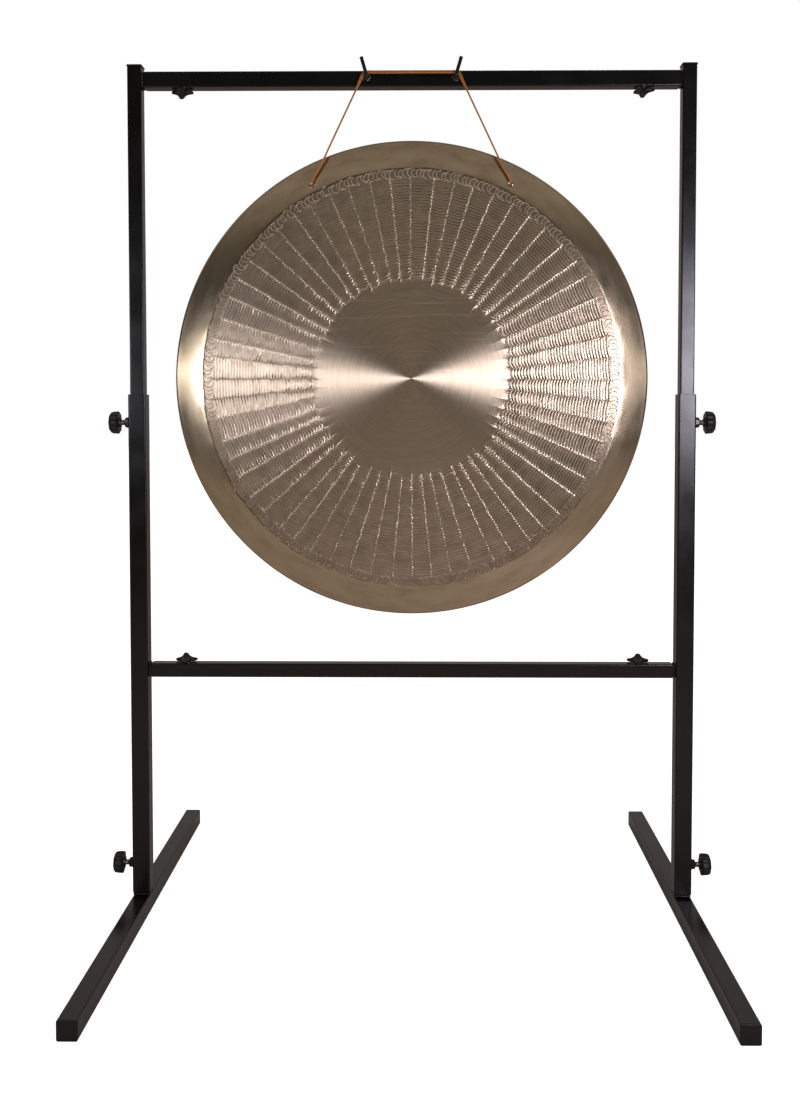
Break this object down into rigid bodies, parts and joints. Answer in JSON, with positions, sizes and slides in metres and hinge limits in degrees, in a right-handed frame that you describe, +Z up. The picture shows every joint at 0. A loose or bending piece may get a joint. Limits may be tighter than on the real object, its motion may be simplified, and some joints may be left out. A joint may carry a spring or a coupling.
{
  "type": "gong stand",
  "caption": "Height-adjustable square-tube floor stand with clamp knobs, two cord hooks and a hung bronze gong.",
  "frame": {"origin": "on the floor, midway between the two foot bars", "axes": "+X to the right seen from the front, +Y from the front to the back, +Z up"},
  "size_m": [0.8624, 0.72, 1.2165],
  "materials": {
    "black_paint": "gloss",
    "black_plastic": "moulded",
    "zinc": "zinc plated",
    "gong_bronze": "hammered and brushed",
    "cord": "twisted"
  },
  "bodies": {
    "feet": {"left_foot_bar": "black_paint", "left_foot_front_plug": "black_plastic", "left_foot_back_plug": "black_plastic", "left_foot_spigot": "black_paint", "right_foot_bar": "black_paint", "right_foot_front_plug": "black_plastic", "right_foot_back_plug": "black_plastic", "right_foot_spigot": "black_paint"},
    "lower_frame": {"left_lower_upright": "black_paint", "right_lower_upright": "black_paint", "lower_left_weld_nut": "black_paint", "lower_right_weld_nut": "black_paint", "upper_left_weld_nut": "black_paint", "upper_right_weld_nut": "black_paint", "mid_crossbar": "black_paint", "mid_left_stub": "black_paint", "mid_right_stub": "black_paint", "mid_left_insert": "zinc", "mid_right_insert": "zinc"},
    "upper_frame": {"left_upper_upright": "black_paint", "right_upper_upright": "black_paint", "left_top_cap": "black_plastic", "right_top_cap": "black_plastic", "top_crossbar": "black_paint", "top_left_stub": "black_paint", "top_right_stub": "black_paint", "top_left_insert": "zinc", "top_right_insert": "zinc", "left_hook": "black_paint", "right_hook": "black_paint", "left_hook_front_nut": "black_paint", "left_hook_back_nut": "black_paint", "right_hook_front_nut": "black_paint", "right_hook_back_nut": "black_paint"},
    "hung_gong": {"gong": "gong_bronze", "hanging_cord": "cord"},
    "lower_left_stud": {"lower_left_clamp_stud": "zinc"},
    "lower_left_knob": {"lower_left_clamp_knob": "black_plastic"},
    "lower_right_stud": {"lower_right_clamp_stud": "zinc"},
    "lower_right_knob": {"lower_right_clamp_knob": "black_plastic"},
    "upper_left_stud": {"upper_left_clamp_stud": "zinc"},
    "upper_left_knob": {"upper_left_clamp_knob": "black_plastic"},
    "upper_right_stud": {"upper_right_clamp_stud": "zinc"},
    "upper_right_knob": {"upper_right_clamp_knob": "black_plastic"},
    "mid_left_screw": {"mid_left_star_screw": "zinc"},
    "mid_left_star": {"mid_left_star_knob": "black_plastic"},
    "mid_right_screw": {"mid_right_star_screw": "zinc"},
    "mid_right_star": {"mid_right_star_knob": "black_plastic"},
    "top_left_screw": {"top_left_star_screw": "zinc"},
    "top_left_star": {"top_left_star_knob": "black_plastic"},
    "top_right_screw": {"top_right_star_screw": "zinc"},
    "top_right_star": {"top_right_star_knob": "black_plastic"}
  },
  "joints": [
    {"name": "frame_lift", "type": "slide", "parent": "feet", "child": "lower_frame", "axis": [0, 0, 1], "range_m": [0, 0.065]},
    {"name": "height", "type": "slide", "parent": "lower_frame", "child": "upper_frame", "axis": [0, 0, 1], "range_m": [-0.06, 0.16]},
    {"name": "gong_swing", "type": "hinge", "parent": "upper_frame", "child": "hung_gong", "pos_m": [0, -0.0175, 1.19675], "axis": [1, 0, 0], "range_deg": [-20, 12]},
    {"name": "lower_left_stud_travel", "type": "slide", "parent": "lower_frame", "child": "lower_left_stud", "axis": [-1, 0, 0], "range_m": [0, 0.0025]},
    {"name": "lower_left_knob_turn", "type": "hinge", "parent": "lower_left_stud", "child": "lower_left_knob", "pos_m": [-0.42, 0, 0.07], "axis": [-1, 0, 0], "range_deg": [0, 723]},
    {"name": "lower_right_stud_travel", "type": "slide", "parent": "lower_frame", "child": "lower_right_stud", "axis": [1, 0, 0], "range_m": [0, 0.0025]},
    {"name": "lower_right_knob_turn", "type": "hinge", "parent": "lower_right_stud", "child": "lower_right_knob", "pos_m": [0.42, 0, 0.07], "axis": [1, 0, 0], "range_deg": [0, 723]},
    {"name": "upper_left_stud_travel", "type": "slide", "parent": "lower_frame", "child": "upper_left_stud", "axis": [-1, 0, 0], "range_m": [0, 0.0025]},
    {"name": "upper_left_knob_turn", "type": "hinge", "parent": "upper_left_stud", "child": "upper_left_knob", "pos_m": [-0.42, 0, 0.708], "axis": [-1, 0, 0], "range_deg": [0, 723]},
    {"name": "upper_right_stud_travel", "type": "slide", "parent": "lower_frame", "child": "upper_right_stud", "axis": [1, 0, 0], "range_m": [0, 0.0025]},
    {"name": "upper_right_knob_turn", "type": "hinge", "parent": "upper_right_stud", "child": "upper_right_knob", "pos_m": [0.42, 0, 0.708], "axis": [1, 0, 0], "range_deg": [0, 723]},
    {"name": "mid_left_screw_travel", "type": "slide", "parent": "lower_frame", "child": "mid_left_screw", "axis": [0, 0, 1], "range_m": [0, 0.002]},
    {"name": "mid_left_star_turn", "type": "hinge", "parent": "mid_left_screw", "child": "mid_left_star", "pos_m": [-0.325, 0, 0.37], "axis": [0, 0, 1], "range_deg": [0, 723]},
    {"name": "mid_right_screw_travel", "type": "slide", "parent": "lower_frame", "child": "mid_right_screw", "axis": [0, 0, 1], "range_m": [0, 0.002]},
    {"name": "mid_right_star_turn", "type": "hinge", "parent": "mid_right_screw", "child": "mid_right_star", "pos_m": [0.325, 0, 0.37], "axis": [0, 0, 1], "range_deg": [0, 723]},
    {"name": "top_left_screw_travel", "type": "slide", "parent": "upper_frame", "child": "top_left_screw", "axis": [0, 0, -1], "range_m": [0, 0.002]},
    {"name": "top_left_star_turn", "type": "hinge", "parent": "top_left_screw", "child": "top_left_star", "pos_m": [-0.325, 0, 1.172], "axis": [0, 0, -1], "range_deg": [0, 723]},
    {"name": "top_right_screw_travel", "type": "slide", "parent": "upper_frame", "child": "top_right_screw", "axis": [0, 0, -1], "range_m": [0, 0.002]},
    {"name": "top_right_star_turn", "type": "hinge", "parent": "top_right_screw", "child": "top_right_star", "pos_m": [0.325, 0, 1.172], "axis": [0, 0, -1], "range_deg": [0, 723]}
  ],
  "couplings": [
    {"joint": "lower_left_knob_turn", "follows": "lower_left_stud_travel", "rad_per_m": 5026.5},
    {"joint": "lower_right_knob_turn", "follows": "lower_right_stud_travel", "rad_per_m": 5026.5},
    {"joint": "upper_left_knob_turn", "follows": "upper_left_stud_travel", "rad_per_m": 5026.5},
    {"joint": "upper_right_knob_turn", "follows": "upper_right_stud_travel", "rad_per_m": 5026.5},
    {"joint": "mid_left_star_turn", "follows": "mid_left_screw_travel", "rad_per_m": 6283.2},
    {"joint": "mid_right_star_turn", "follows": "mid_right_screw_travel", "rad_per_m": 6283.2},
    {"joint": "top_left_star_turn", "follows": "top_left_screw_travel", "rad_per_m": 6283.2},
    {"joint": "top_right_star_turn", "follows": "top_right_screw_travel", "rad_per_m": 6283.2}
  ]
}
